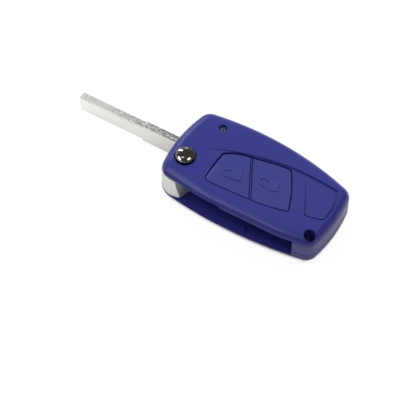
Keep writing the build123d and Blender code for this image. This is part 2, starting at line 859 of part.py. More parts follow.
# Battery tray: a front plate in the back wall of the slot, and a round cradle for the cell
with BuildPart() as battery_tray:
    with BuildSketch(Plane.XZ.offset(-slot_back)):
        with Locations((tray_middle, lock_z)):
            RectangleRounded(tray_right - tray_left, tray_plate_height, tray_corner)
    extrude(amount=-tray_plate_thickness)
    with BuildSketch(Plane.XY.offset(tray_bottom)):
        with Locations((cell_x, cell_y)):
            Circle(cradle_radius)
        with Locations((cell_x, slot_back + tray_plate_thickness / 2)):
            Rectangle(cradle_neck, cell_radius, align=(Align.CENTER, Align.MIN))
    extrude(amount=cradle_height)
    with Locations((cell_x, cell_y, tray_bottom + cradle_height)):
        CounterBoreHole(cell_radius - cell_ledge, cell_radius, cradle_height - cradle_floor)
    # Gap at the back of the cradle where the contact reaches in
    with BuildSketch(Plane.XY.offset(tray_bottom + cradle_floor)):
        with Locations((cell_x, cell_y + cell_radius)):
            Rectangle(contact_gap, 4 * cradle_wall)
    extrude(amount=cradle_height, mode=Mode.SUBTRACT)
    # Seat and hole of the lock
    with BuildSketch(Plane.XZ.offset(-slot_back)):
        with Locations((lock_x, lock_z)):
            Circle(lock_head_radius + lock_gap)
    extrude(amount=-lock_head_thickness - 2 * lock_gap, mode=Mode.SUBTRACT)
    with BuildSketch(Plane.XZ.offset(-slot_back)):
        with Locations((lock_x, lock_z)):
            Circle(lock_shank_radius + lock_shank_gap)
    extrude(amount=-tray_plate_thickness, mode=Mode.SUBTRACT)
battery_tray.part.label = "battery_tray"


# Quarter-turn lock of the tray, in its open position
with BuildPart() as tray_lock:
    with BuildSketch(Plane.XZ.offset(-slot_back - lock_gap)):
        with Locations((lock_x, lock_z)):
            Circle(lock_head_radius)
    extrude(amount=-lock_head_thickness)
    with BuildSketch(Plane.XZ.offset(-slot_back - lock_gap)):
        with Locations((lock_x, lock_z)):
            Rectangle(3 * lock_head_radius, lock_slot_width)
    extrude(amount=-lock_slot_depth, mode=Mode.SUBTRACT)
    with BuildSketch(Plane.XZ.offset(-cam_front)):
        with Locations((lock_x, lock_z)):
            Circle(lock_shank_radius)
    extrude(amount=cam_front - slot_back - lock_gap - lock_slot_depth)
    with BuildSketch(Plane.XZ.offset(-cam_front)):
        with Locations((lock_x, lock_z)):
            SlotOverall(2 * cam_length, cam_width)
            Rectangle(2 * cam_length, cam_width, align=(Align.MAX, Align.CENTER), mode=Mode.SUBTRACT)
            Circle(cam_width / 2)
    extrude(amount=-cam_thickness)
tray_lock.part.label = "tray_lock"


pieces = (
    upper_case,
    lower_case,
    lock_button,
    unlock_button,
    button_pad,
    led_lens,
    flip_button,
    flip_spring,
    key_head,
    blade,
    blade_pin,
    battery_tray,
    tray_lock,
)
os.makedirs("parts", exist_ok=True)
for piece in pieces:
    export_step(piece.part, "parts/" + piece.part.label + ".step")
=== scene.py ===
from math import cos, pi, radians, sin

import bmesh
import bpy
from mathutils import Matrix, Vector


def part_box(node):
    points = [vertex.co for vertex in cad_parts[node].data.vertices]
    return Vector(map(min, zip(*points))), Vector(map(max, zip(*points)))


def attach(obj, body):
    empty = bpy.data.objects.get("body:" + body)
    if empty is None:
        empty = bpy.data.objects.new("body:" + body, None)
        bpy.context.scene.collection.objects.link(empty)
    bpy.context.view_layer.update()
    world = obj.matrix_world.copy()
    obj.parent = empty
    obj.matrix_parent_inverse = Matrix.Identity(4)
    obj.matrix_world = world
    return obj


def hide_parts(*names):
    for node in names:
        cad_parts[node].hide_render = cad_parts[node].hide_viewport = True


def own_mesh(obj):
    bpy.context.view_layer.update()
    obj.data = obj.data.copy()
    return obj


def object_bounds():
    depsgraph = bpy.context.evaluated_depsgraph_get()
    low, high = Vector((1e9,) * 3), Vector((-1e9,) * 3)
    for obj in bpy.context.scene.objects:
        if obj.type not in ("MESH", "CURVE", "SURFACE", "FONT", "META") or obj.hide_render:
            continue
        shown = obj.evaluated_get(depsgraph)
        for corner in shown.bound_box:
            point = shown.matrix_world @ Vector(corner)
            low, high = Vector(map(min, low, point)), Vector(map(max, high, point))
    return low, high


bl_info = {
    "name": "Flip key remote shell",
    "version": (1, 0, 0),
    "blender": (4, 5, 0),
    "location": "View3D > Sidebar > Key shell",
    "description": "Finishes, button symbols, lights and camera for a flip key remote shell",
    "category": "Object",
}

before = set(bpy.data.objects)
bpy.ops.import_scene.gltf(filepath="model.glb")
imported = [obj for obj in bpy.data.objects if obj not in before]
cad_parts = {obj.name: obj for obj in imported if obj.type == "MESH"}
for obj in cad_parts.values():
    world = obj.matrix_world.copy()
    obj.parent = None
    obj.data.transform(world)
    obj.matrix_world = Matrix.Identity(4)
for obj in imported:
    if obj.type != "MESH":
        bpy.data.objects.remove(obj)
CAD_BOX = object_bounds()

MM = 0.001
LIGHT_DISTANCE = 0.8
FLOOR_RADIUS = 2.0
NEAREST_SEEN = 0.05
WIRE_SIDES = 12
STEPS_PER_TURN = 24
BOW_STEPS = 14


def linear(hex_colour):
    """An sRGB hex colour as a linear colour with alpha."""
    channels = [int(hex_colour[i:i + 2], 16) / 255 for i in (0, 2, 4)]
    return tuple(c / 12.92 if c <= 0.04045 else ((c + 0.055) / 1.055) ** 2.4 for c in channels) + (1.0,)


def node(tree, kind, inputs=None, **settings):
    """Adds a node; each input is a value or an output socket of another node."""
    made = tree.nodes.new("ShaderNode" + kind)
    for name, value in settings.items():
        setattr(made, name, value)
    for name, value in (inputs or {}).items():
        if isinstance(value, bpy.types.NodeSocket):
            tree.links.new(value, made.inputs[name])
        else:
            made.inputs[name].default_value = value
    return made


def new_material(name):
    """An empty node material and its tree."""
    material = bpy.data.materials.new(name)
    material.use_nodes = True
    material.node_tree.nodes.clear()
    return material, material.node_tree


def noise_at(tree, place, feature_mm, detail=2.0, stretch=(1.0, 1.0, 1.0)):
    """Noise whose features have a real size in millimetres, stretched along an axis if wanted."""
    mapping = node(tree, "Mapping", {"Vector": place, "Scale": stretch})
    return node(tree, "TexNoise", {"Vector": mapping.outputs[0], "Scale": 1 / (feature_mm * MM),
                                   "Detail": detail})


# Materials

def moulded_abs(name, colour, deep_colour, grain_mm, roughness):
    """Moulded ABS with a fine spark-eroded grain: a soft, slightly speckled sheen."""
    material, tree = new_material(name)
    place = node(tree, "TexCoord").outputs["Object"]
    # Slow drift of the pigment across the moulding
    drift = noise_at(tree, place, 14.0)
    tint = node(tree, "MixRGB", {"Fac": drift.outputs["Fac"], "Color1": deep_colour, "Color2": colour})
    # Spark-eroded grain, drawn coarser than the real one so that it shows
    grain = noise_at(tree, place, grain_mm, detail=3.0)
    sheen = node(tree, "MapRange", {"Value": grain.outputs["Fac"], "From Min": 0.3, "From Max": 0.7,
                                    "To Min": roughness - 0.07, "To Max": roughness + 0.07})
    bump = node(tree, "Bump", {"Height": grain.outputs["Fac"], "Strength": 0.25, "Distance": 0.02 * MM})
    shader = node(tree, "BsdfPrincipled", {"Base Color": tint.outputs[0], "Roughness": sheen.outputs[0],
                                           "Normal": bump.outputs[0], "IOR": 1.53,
                                           "Specular IOR Level": 0.35})
    node(tree, "OutputMaterial", {"Surface": shader.outputs[0]})
    return material


def chrome_plate(colour, roughness):
    """Polished chrome plate over a turned dome: a dark mirror with faint polishing haze."""
    material, tree = new_material("polished_chrome_plate")
    place = node(tree, "TexCoord").outputs["Object"]
    haze = noise_at(tree, place, 0.8, detail=4.0)
    sheen = node(tree, "MapRange", {"Value": haze.outputs["Fac"], "To Min": roughness * 0.6,
                                    "To Max": roughness * 1.4})
    shader = node(tree, "BsdfPrincipled", {"Base Color": colour, "Metallic": 1.0,
                                           "Roughness": sheen.outputs[0]})
    node(tree, "OutputMaterial", {"Surface": shader.outputs[0]})
    return material


def ground_nickel_silver(colour, dark_colour):
    """Nickel silver blank: wide faces bright from grinding, narrow upper and lower sides left milled,
    with painted shade towards the root.
    """
    material, tree = new_material("ground_nickel_silver")
    coordinates = node(tree, "TexCoord")
    place = coordinates.outputs["Object"]
    facing = node(tree, "SeparateXYZ", {"Vector": coordinates.outputs["Normal"]})
    upward = node(tree, "Math", {0: facing.outputs["Z"]}, operation="ABSOLUTE")
    milled = node(tree, "MapRange", {"Value": upward.outputs[0], "From Min": 0.8, "From Max": 0.95})
    # Painted shade and painted light: the metal is painted darker towards the root and lighter towards
    # the tip
    along = node(tree, "SeparateXYZ", {"Vector": place})
    painted_root_shade = node(tree, "MapRange", {"Value": along.outputs["X"], "From Min": -36 * MM,
                                   "From Max": -10 * MM, "To Min": 0.35, "To Max": 1.0})
    # Torn, mottled metal on the milled sides, made stronger towards the root by the painted shade
    tear = noise_at(tree, place, 0.5, detail=4.0, stretch=(0.45, 1.0, 1.0))
    rough = node(tree, "MapRange", {"Value": tear.outputs["Fac"], "From Min": 0.35, "From Max": 0.65})
    amount = node(tree, "Math", {0: rough.outputs[0], 1: painted_root_shade.outputs[0]}, operation="MULTIPLY")
    torn_and_root_shade = node(tree, "Math", {0: amount.outputs[0], 1: milled.outputs[0]}, operation="MULTIPLY")
    # Fine grinding lines along the wide faces, made darker towards the root by the painted shade
    line = noise_at(tree, place, 0.4, detail=3.0, stretch=(0.04, 1.0, 1.0))
    grinding_and_root_shade = node(tree, "Math", {0: line.outputs["Fac"], 1: painted_root_shade.outputs[0]}, operation="MULTIPLY")
    faint = node(tree, "Math", {0: grinding_and_root_shade.outputs[0], 1: 0.35}, operation="MULTIPLY")
    dark = node(tree, "Math", {0: torn_and_root_shade.outputs[0], 1: faint.outputs[0]}, operation="ADD")
    # The dark colour paints the torn metal, the grinding lines and the painted shade towards the root
    tint = node(tree, "MixRGB", {"Fac": dark.outputs[0], "Color1": colour, "Color2": dark_colour})
    sheen = node(tree, "MapRange", {"Value": line.outputs["Fac"], "From Min": 0.3, "From Max": 0.7,
                                    "To Min": 0.46, "To Max": 0.58})
    bump = node(tree, "Bump", {"Height": torn_and_root_shade.outputs[0], "Strength": 0.5, "Distance": 0.04 * MM})
    # Torn metal scatters light from all round, much as a dull solid does
    metallic = node(tree, "MapRange", {"Value": milled.outputs[0], "To Min": 1.0, "To Max": 0.6})
    shader = node(tree, "BsdfPrincipled", {"Base Color": tint.outputs[0], "Metallic": metallic.outputs[0],
                                           "Roughness": sheen.outputs[0], "Normal": bump.outputs[0]})
    node(tree, "OutputMaterial", {"Surface": shader.outputs[0]})
    return material


def plated_zinc(colour, dark_colour):
    """Tumbled and nickel-plated zinc casting: satin, with faint cast mottling."""
    material, tree = new_material("nickel_plated_zinc")
    place = node(tree, "TexCoord").outputs["Object"]
    mottle = noise_at(tree, place, 1.2, detail=4.0)
    tint = node(tree, "MixRGB", {"Fac": mottle.outputs["Fac"], "Color1": dark_colour, "Color2": colour})
    sheen = node(tree, "MapRange", {"Value": mottle.outputs["Fac"], "To Min": 0.38, "To Max": 0.56})
    bump = node(tree, "Bump", {"Height": mottle.outputs["Fac"], "Strength": 0.12, "Distance": 0.04 * MM})
    # Part of the light scatters from the tumbled plate
    shader = node(tree, "BsdfPrincipled", {"Base Color": tint.outputs[0], "Metallic": 0.85,
                                           "Roughness": sheen.outputs[0], "Normal": bump.outputs[0]})
    node(tree, "OutputMaterial", {"Surface": shader.outputs[0]})
    return material


def smoked_acrylic(colour):
    """Smoked acrylic light pipe: dark, glossy and slightly see-through."""
    material, tree = new_material("smoked_acrylic")
    place = node(tree, "TexCoord").outputs["Object"]
    flow = noise_at(tree, place, 0.9)
    sheen = node(tree, "MapRange", {"Value": flow.outputs["Fac"], "To Min": 0.05, "To Max": 0.12})
    shader = node(tree, "BsdfPrincipled", {"Base Color": colour, "Roughness": sheen.outputs[0],
                                           "IOR": 1.49, "Transmission Weight": 0.35,
                                           "Coat Weight": 1.0, "Coat Roughness": 0.04})
    node(tree, "OutputMaterial", {"Surface": shader.outputs[0]})
    return material


def silicone_rubber(colour):
    """Moulded silicone: matt and slightly waxy, with a fine dusty grain."""
    material, tree = new_material("silicone_rubber")
    place = node(tree, "TexCoord").outputs["Object"]
    dust = noise_at(tree, place, 0.5, detail=4.0)
    sheen = node(tree, "MapRange", {"Value": dust.outputs["Fac"], "To Min": 0.55, "To Max": 0.75})
    bump = node(tree, "Bump", {"Height": dust.outputs["Fac"], "Strength": 0.1, "Distance": 0.03 * MM})
    shader = node(tree, "BsdfPrincipled", {"Base Color": colour, "Roughness": sheen.outputs[0],
                                           "Normal": bump.outputs[0], "IOR": 1.41,
                                           "Subsurface Weight": 0.1, "Subsurface Scale": 0.5 * MM})
    node(tree, "OutputMaterial", {"Surface": shader.outputs[0]})
    return material


def drawn_steel(name, colour):
    """Bright drawn steel, as springs and pins are made of: fine die lines and a cool shine."""
    material, tree = new_material(name)
    place = node(tree, "TexCoord").outputs["Object"]
    line = noise_at(tree, place, 0.2, detail=3.0, stretch=(1.0, 1.0, 0.2))
    sheen = node(tree, "MapRange", {"Value": line.outputs["Fac"], "To Min": 0.18, "To Max": 0.4})
    shader = node(tree, "BsdfPrincipled", {"Base Color": colour, "Metallic": 1.0,
                                           "Roughness": sheen.outputs[0]})
    node(tree, "OutputMaterial", {"Surface": shader.outputs[0]})
    return material


def finish_nodes(material, *names):
    """Gives CAD nodes their finish in place of the plain one."""
    for name in names:
        for material_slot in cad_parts[name].material_slots:
            material_slot.material = material


# Shapes

def to_object(name, shape, material):
    """Turns a bmesh into a named object that stands at the origin."""
    mesh = bpy.data.meshes.new(name)
    shape.to_mesh(mesh)
    shape.free()
    mesh.materials.append(material)
    made = bpy.data.objects.new(name, mesh)
    bpy.context.scene.collection.objects.link(made)
    return made


def on_top_of(name, spot):
    """A place on the upper face of a CAD node over a spot of the plan: X along +X, Z square to it."""
    hit, location, normal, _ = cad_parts[name].ray_cast((*spot, CAD_BOX[1][2]), (0, 0, -1))
    if not hit:
        raise RuntimeError("No face of " + name + " under the symbol")
    across = normal.cross(Vector((1, 0, 0))).normalized()
    turn = Matrix((across.cross(normal), across, normal)).transposed().to_4x4()
    return Matrix.Translation(location) @ turn


def face_in(parts):
    """The face among the parts that an operator made."""
    return next(part for part in parts if isinstance(part, bmesh.types.BMFace))


def whole(face):
    """A face with its edges and corners, which an extrude or a spin draws out."""
    return [face, *face.edges, *face.verts]


def padlock(width, relief, swing):
    """A raised padlock sign seen from above, its shackle towards +X and swung open by an angle."""
    length, corner, rim = 0.8 * width, 0.14 * width, 0.35 * relief
    seat, stroke, leg, bow = 0.38 * width, 0.17 * width, 0.36 * width, 0.31 * width
    shape = bmesh.new()
    bmesh.ops.create_cube(shape, size=1.0)
    bmesh.ops.scale(shape, vec=(length, width, 2 * relief), verts=shape.verts)
    upright = [edge for edge in shape.edges if edge.calc_length() < 3 * relief]
    bmesh.ops.bevel(shape, geom=upright, offset=corner, segments=4, affect="EDGES", profile=0.5,
                    material=-1)
    body = set(shape.verts)
    # The shackle starts as a small upright face and is drawn up one leg, round the bow and back
    bar = bmesh.ops.create_grid(shape, x_segments=1, y_segments=1, size=0.5)["verts"]
    bmesh.ops.scale(shape, vec=(2 * relief, stroke, 1), verts=bar)
    bmesh.ops.rotate(shape, cent=(0, 0, 0), matrix=Matrix.Rotation(radians(90), 3, "Y"), verts=bar)
    bmesh.ops.translate(shape, vec=(seat, -bow, 0), verts=bar)
    end = next(face for face in shape.faces if set(face.verts) == set(bar))
    for move in (leg, -leg):
        drawn = bmesh.ops.extrude_face_region(shape, geom=whole(end))["geom"]
        corners = [part for part in drawn if isinstance(part, bmesh.types.BMVert)]
        bmesh.ops.translate(shape, vec=(move, 0, 0), verts=corners)
        if move > 0:
            ring = bmesh.ops.spin(shape, geom=whole(face_in(drawn)), axis=(0, 0, 1),
                                  cent=(seat + leg, 0, 0), angle=pi, steps=BOW_STEPS)["geom_last"]
            end = face_in(ring)
    shackle = [vertex for vertex in shape.verts if vertex not in body]
    bmesh.ops.rotate(shape, cent=(seat, -bow, 0), matrix=Matrix.Rotation(-swing, 3, "Z"), verts=shackle)
    bmesh.ops.recalc_face_normals(shape, faces=shape.faces)
    # The raised edges are rounded, as a moulded sign's are
    rims = [edge for edge in shape.edges if min(vertex.co.z for vertex in edge.verts) > 0.9 * relief
            and edge.is_manifold and edge.calc_face_angle() > radians(60)]
    bmesh.ops.bevel(shape, geom=rims, offset=rim, segments=3, affect="EDGES", profile=0.5, material=-1,
                    clamp_overlap=True)
    for face in shape.faces:
        face.smooth = True
    return shape


def coil_spring(radius, wire, low, high, closed_turns, open_turns):
    """A compression spring standing on +Z, its end turns wound close and its middle turns open."""
    shape = bmesh.new()
    section = bmesh.ops.create_circle(shape, cap_ends=True, segments=WIRE_SIDES, radius=wire)["verts"]
    bmesh.ops.rotate(shape, cent=(0, 0, 0), matrix=Matrix.Rotation(radians(90), 3, "X"), verts=section)
    bmesh.ops.translate(shape, vec=(radius, 0, low + wire), verts=section)
    end = face_in(shape.faces)
    # The closed turns lie a hair apart
    close_pitch = 2.05 * wire
    close_rise = closed_turns * close_pitch
    open_rise = high - low - 2 * wire - 2 * close_rise
    for turns, rise in ((closed_turns, close_rise), (open_turns, open_rise), (closed_turns, close_rise)):
        steps = round(STEPS_PER_TURN * turns)
        end = face_in(bmesh.ops.spin(shape, geom=whole(end), cent=(0, 0, 0), axis=(0, 0, 1),
                                     dvec=(0, 0, rise / steps), angle=2 * pi * turns,
                                     steps=steps)["geom_last"])
    bmesh.ops.recalc_face_normals(shape, faces=shape.faces)
    for face in shape.faces:
        face.smooth = len(face.verts) < WIRE_SIDES
    return shape


# Settings

class CaseSettings(bpy.types.PropertyGroup):
    colour: bpy.props.FloatVectorProperty(
        name="Case blue", description="Colour of the case halves", subtype="COLOR", size=4,
        min=0, max=1, default=linear("34378e"))
    deep_colour: bpy.props.FloatVectorProperty(
        name="Case blue, deep", description="Darker drift of the case's pigment", subtype="COLOR",
        size=4, min=0, max=1, default=linear("303389"))
    grain: bpy.props.FloatProperty(
        name="Case grain", description="Size of the moulded grain in millimetres", default=0.35,
        min=0.05)
    roughness: bpy.props.FloatProperty(
        name="Case roughness", description="Softness of the case's sheen", default=0.33, min=0.05,
        max=1)


class ButtonSettings(bpy.types.PropertyGroup):
    colour: bpy.props.FloatVectorProperty(
        name="Button blue", description="Colour of the button caps", subtype="COLOR", size=4,
        min=0, max=1, default=linear("343a8c"))
    sign_colour: bpy.props.FloatVectorProperty(
        name="Symbol blue", description="Colour of the raised padlock symbols", subtype="COLOR", size=4,
        min=0, max=1, default=linear("393f90"))
    pad_colour: bpy.props.FloatVectorProperty(
        name="Pad grey", description="Colour of the silicone pad", subtype="COLOR", size=4,
        min=0, max=1, default=linear("8c8f96"))
    grain: bpy.props.FloatProperty(
        name="Cap grain", description="Size of the caps' moulded grain in millimetres", default=0.3,
        min=0.05)
    roughness: bpy.props.FloatProperty(
        name="Cap roughness", description="Softness of the caps' sheen", default=0.38, min=0.05, max=1)
    sign_roughness: bpy.props.FloatProperty(
        name="Symbol roughness", description="Softness of the rubbed symbols' sheen", default=0.34,
        min=0.05, max=1)
    relief: bpy.props.FloatProperty(
        name="Symbol relief", description="How far the padlock symbols stand up", unit="LENGTH",
        subtype="DISTANCE", default=0.25 * MM, precision=5)
    lock_place: bpy.props.FloatVectorProperty(
        name="Lock symbol place", description="Middle of the closed padlock on the top", size=2,
        subtype="XYZ_LENGTH", unit="LENGTH", default=(19.0 * MM, 2.2 * MM), precision=5)
    unlock_place: bpy.props.FloatVectorProperty(
        name="Unlock symbol place", description="Middle of the open padlock on the top", size=2,
        subtype="XYZ_LENGTH", unit="LENGTH", default=(32.2 * MM, 4.6 * MM), precision=5)
    symbol_size: bpy.props.FloatProperty(
        name="Symbol size", description="Width of a padlock's body", unit="LENGTH",
        subtype="DISTANCE", default=4.6 * MM, precision=5)
    symbol_turn: bpy.props.FloatProperty(
        name="Symbol turn", description="Direction of the shackles, from +X", subtype="ANGLE",
        unit="ROTATION", default=radians(195))
    swing: bpy.props.FloatProperty(
        name="Swing", description="How far the open padlock's shackle is swung", subtype="ANGLE",
        unit="ROTATION", default=radians(28))


class MetalSettings(bpy.types.PropertyGroup):
    chrome: bpy.props.FloatVectorProperty(
        name="Chrome", description="Colour of the flip button's plating", subtype="COLOR", size=4,
        min=0, max=1, default=linear("9d9b97"))
    chrome_roughness: bpy.props.FloatProperty(
        name="Chrome roughness", description="Haze of the flip button's plating", default=0.09,
        min=0, max=1)
    blade: bpy.props.FloatVectorProperty(
        name="Blade", description="Colour of the ground blade", subtype="COLOR", size=4,
        min=0, max=1, default=linear("fdfcf9"))
    blade_dark: bpy.props.FloatVectorProperty(
        name="Blade, milled", description="Colour of the torn metal on the milled sides",
        subtype="COLOR", size=4, min=0, max=1, default=linear("828284"))
    head: bpy.props.FloatVectorProperty(
        name="Key head", description="Colour of the plated key head", subtype="COLOR", size=4,
        min=0, max=1, default=linear("eaeae8"))
    head_dark: bpy.props.FloatVectorProperty(
        name="Key head, mottled", description="Darker mottling of the plated key head",
        subtype="COLOR", size=4, min=0, max=1, default=linear("d2d2cf"))
    spring_colour: bpy.props.FloatVectorProperty(
        name="Spring", description="Colour of the flip spring's wire", subtype="COLOR", size=4,
        min=0, max=1, default=linear("b4b4b2"))
    pin_colour: bpy.props.FloatVectorProperty(
        name="Pin", description="Colour of the roll pin", subtype="COLOR", size=4,
        min=0, max=1, default=linear("a9a9a6"))
    spring_wire: bpy.props.FloatProperty(
        name="Spring wire", description="Radius of the flip spring's wire", unit="LENGTH",
        subtype="DISTANCE", default=0.32 * MM, precision=5)
    spring_travel: bpy.props.FloatProperty(
        name="Spring travel", description="How far the flip button presses its spring together",
        unit="LENGTH", subtype="DISTANCE", default=1.83 * MM, precision=5)
    closed_turns: bpy.props.FloatProperty(
        name="Closed turns", description="Turns wound close at each end of the spring", default=0.75,
        min=0.25)
    open_turns: bpy.props.FloatProperty(
        name="Open turns", description="Turns wound open in the middle of the spring", default=3.0,
        min=0.5)


class LensSettings(bpy.types.PropertyGroup):
    colour: bpy.props.FloatVectorProperty(
        name="Lens", description="Colour of the smoked indicator lens", subtype="COLOR", size=4,
        min=0, max=1, default=linear("48546a"))


class StageSettings(bpy.types.PropertyGroup):
    lens: bpy.props.FloatProperty(
        name="Focal length", description="Focal length of the camera in millimetres", default=176.4,
        min=10)
    azimuth: bpy.props.FloatProperty(
        name="Azimuth", description="Camera's turn to the right of the front", subtype="ANGLE",
        unit="ROTATION", default=radians(29.6))
    elevation: bpy.props.FloatProperty(
        name="Elevation", description="Camera's height above the horizon", subtype="ANGLE",
        unit="ROTATION", default=radians(58.5))
    camera_place: bpy.props.FloatVectorProperty(
        name="Camera place", description="Where the camera stands", size=3,
        subtype="TRANSLATION", unit="LENGTH", default=(0.18523, -0.31580, 0.58234), precision=5)
    glint: bpy.props.FloatProperty(
        name="Glints", description="Brightness of the narrow strips that polished metal mirrors, "
        "in parts of white paper", default=8.0, min=0)
    edge_glow: bpy.props.FloatProperty(
        name="Edge glow", description="Brightness of the low front strip that rounded edges mirror, "
        "in parts of white paper", default=3.6, min=0)
    soft: bpy.props.FloatProperty(
        name="Soft light", description="Brightness of the large lights that mirrors don't show, "
        "in parts of white paper", default=2.7, min=0)
    sky: bpy.props.FloatProperty(
        name="Sky", description="Strength of the even light from all round", default=0.3, min=0)
    contact: bpy.props.FloatProperty(
        name="Contact", description="How near the object the paper is darkened", unit="LENGTH",
        subtype="DISTANCE", default=6.0 * MM, precision=5)
    shade: bpy.props.FloatProperty(
        name="Shade", description="How near the object mirrors see the paper shaded", unit="LENGTH",
        subtype="DISTANCE", default=14.0 * MM, precision=5)
    tent_radius: bpy.props.FloatProperty(
        name="Tent", description="Radius of the dark tent that the metal mirrors", unit="LENGTH",
        subtype="DISTANCE", default=1.2)


# Operators

class CASE_OT_finish(bpy.types.Operator):
    """Gives the case halves and the tray their moulded finish"""
    bl_idname = "key_shell.case"
    bl_label = "Case"

    def execute(self, context):
        look = context.scene.key_case
        case = moulded_abs("moulded_abs_blue", look.colour, look.deep_colour, look.grain, look.roughness)
        finish_nodes(case, "upper_case", "lower_case", "battery_tray", "tray_lock")
        return {"FINISHED"}


class BUTTONS_OT_finish(bpy.types.Operator):
    """Gives the button caps their finish and raised signs, and the pad its silicone"""
    bl_idname = "key_shell.buttons"
    bl_label = "Buttons"

    def execute(self, context):
        look = context.scene.key_buttons
        cap = moulded_abs("moulded_abs_button", look.colour, look.colour, look.grain, look.roughness)
        finish_nodes(cap, "lock_button", "unlock_button")
        # The raised signs are a little lighter and smoother than the caps
        embossed = moulded_abs("moulded_abs_embossed", look.sign_colour, look.sign_colour, look.grain,
                             look.sign_roughness)
        signs = (("lock_symbol", "lock_button", "button_plastic", look.lock_place, 0.0),
                 ("unlock_symbol", "unlock_button", "unlock_button_plastic", look.unlock_place,
                  look.swing))
        for name, button, slot, spot, swing in signs:
            shape = padlock(look.symbol_size, look.relief, swing)
            place = on_top_of(button, spot) @ Matrix.Rotation(look.symbol_turn, 4, "Z")
            bmesh.ops.transform(shape, matrix=place, verts=shape.verts)
            sign = to_object(name, shape, embossed)
            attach(sign, button)
        finish_nodes(silicone_rubber(look.pad_colour), "button_pad")
        return {"FINISHED"}


class METAL_OT_finish(bpy.types.Operator):
    """Gives the flip button, key head, blade, pin and spring their metal, and makes the coil"""
    bl_idname = "key_shell.metal"
    bl_label = "Metal parts"

    def execute(self, context):
        look = context.scene.key_metal
        finish_nodes(chrome_plate(look.chrome, look.chrome_roughness), "flip_button")
        finish_nodes(ground_nickel_silver(look.blade, look.blade_dark), "blade")
        finish_nodes(plated_zinc(look.head, look.head_dark), "key_head")
        steel = drawn_steel("spring_steel_wire", look.spring_colour)
        finish_nodes(steel, "flip_spring")
        # The spring that can be pressed together stands in for the stiff one of the frame
        (_, _, low), (outside, _, high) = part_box("flip_spring")
        shape = coil_spring(outside - look.spring_wire, look.spring_wire, low, high,
                            look.closed_turns, look.open_turns)
        coil = to_object("flip_spring_coil", shape, steel)
        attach(coil, "blade_unit")
        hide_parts("flip_spring")
        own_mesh(coil)
        finish_nodes(drawn_steel("roll_pin_steel", look.pin_colour), "blade_pin")
        return {"FINISHED"}


class LENS_OT_finish(bpy.types.Operator):
    """Gives the indicator lens its smoked acrylic"""
    bl_idname = "key_shell.lens"
    bl_label = "Indicator lens"

    def execute(self, context):
        finish_nodes(smoked_acrylic(context.scene.key_lens.colour), "led_lens")
        return {"FINISHED"}


# Stage

def strip_light(name, start, end, width, strength, colour="ffffff", mirrored=True, scattered=True):
    """A strip light between two directions seen from the object, 1 being as bright as white paper."""
    ends = [Vector(side).normalized() * LIGHT_DISTANCE for side in (start, end)]
    data = bpy.data.lights.new(name, "AREA")
    data.shape = "RECTANGLE"
    data.size = (ends[1] - ends[0]).length
    data.size_y = width
    data.energy = strength * pi * data.size * width
    data.color = linear(colour)[:3]
    lamp = bpy.data.objects.new(name, data)
    bpy.context.scene.collection.objects.link(lamp)
    back = (ends[0] + ends[1]).normalized()
    along = (ends[1] - ends[0]).normalized()
    turn = Matrix((along, back.cross(along), back)).transposed().to_4x4()
    lamp.matrix_world = Matrix.Translation((ends[0] + ends[1]) / 2) @ turn
    lamp.visible_glossy = mirrored
    lamp.visible_diffuse = scattered


def place_lights(glint, edge_glow, soft):
    """Strips that metal and rounded edges mirror, and large soft lights that nothing mirrors."""
    warm = "fff6ea"
    strip_light("right_light", (0.262, -0.02, 0.962), (0.371, 0.28, 0.862), 0.11, 0.6 * glint, warm)
    strip_light("left_light", (-0.64, -0.10, 0.76), (-0.34, -0.30, 0.88), 0.05, 1.6 * glint)
    strip_light("top_light", (-0.38, -0.07, 0.92), (-0.12, 0.01, 0.99), 0.05, 0.4 * glint, warm)
    strip_light("rear_left_light", (-0.78, 0.51, 0.37), (-0.55, 0.54, 0.63), 0.09, 1.2 * glint)
    strip_light("rear_light", (-0.50, 0.79, 0.35), (-0.33, 0.87, 0.34), 0.04, 0.6 * glint)
    strip_light("edge_light", (-0.72, -0.50, 0.56), (-0.05, -0.66, 0.75), 0.22, edge_glow,
                scattered=False)
    strip_light("soft_light", (-0.40, 0.60, 0.69), (0.45, 0.55, 0.70), 0.40, soft, mirrored=False)
    strip_light("soft_left_light", (-0.65, -0.10, 0.75), (-0.30, -0.35, 0.88), 0.40, 0.85 * soft,
                mirrored=False)


def seen_directly(tree):
    """One where a ray comes from the camera, a mirror or a glass, and nought for scattered light."""
    path = node(tree, "LightPath")
    either = node(tree, "Math", {0: path.outputs["Is Camera Ray"], 1: path.outputs["Is Glossy Ray"]},
                  operation="MAXIMUM")
    return node(tree, "Math", {0: either.outputs[0], 1: path.outputs["Is Transmission Ray"]},
                operation="MAXIMUM").outputs[0]


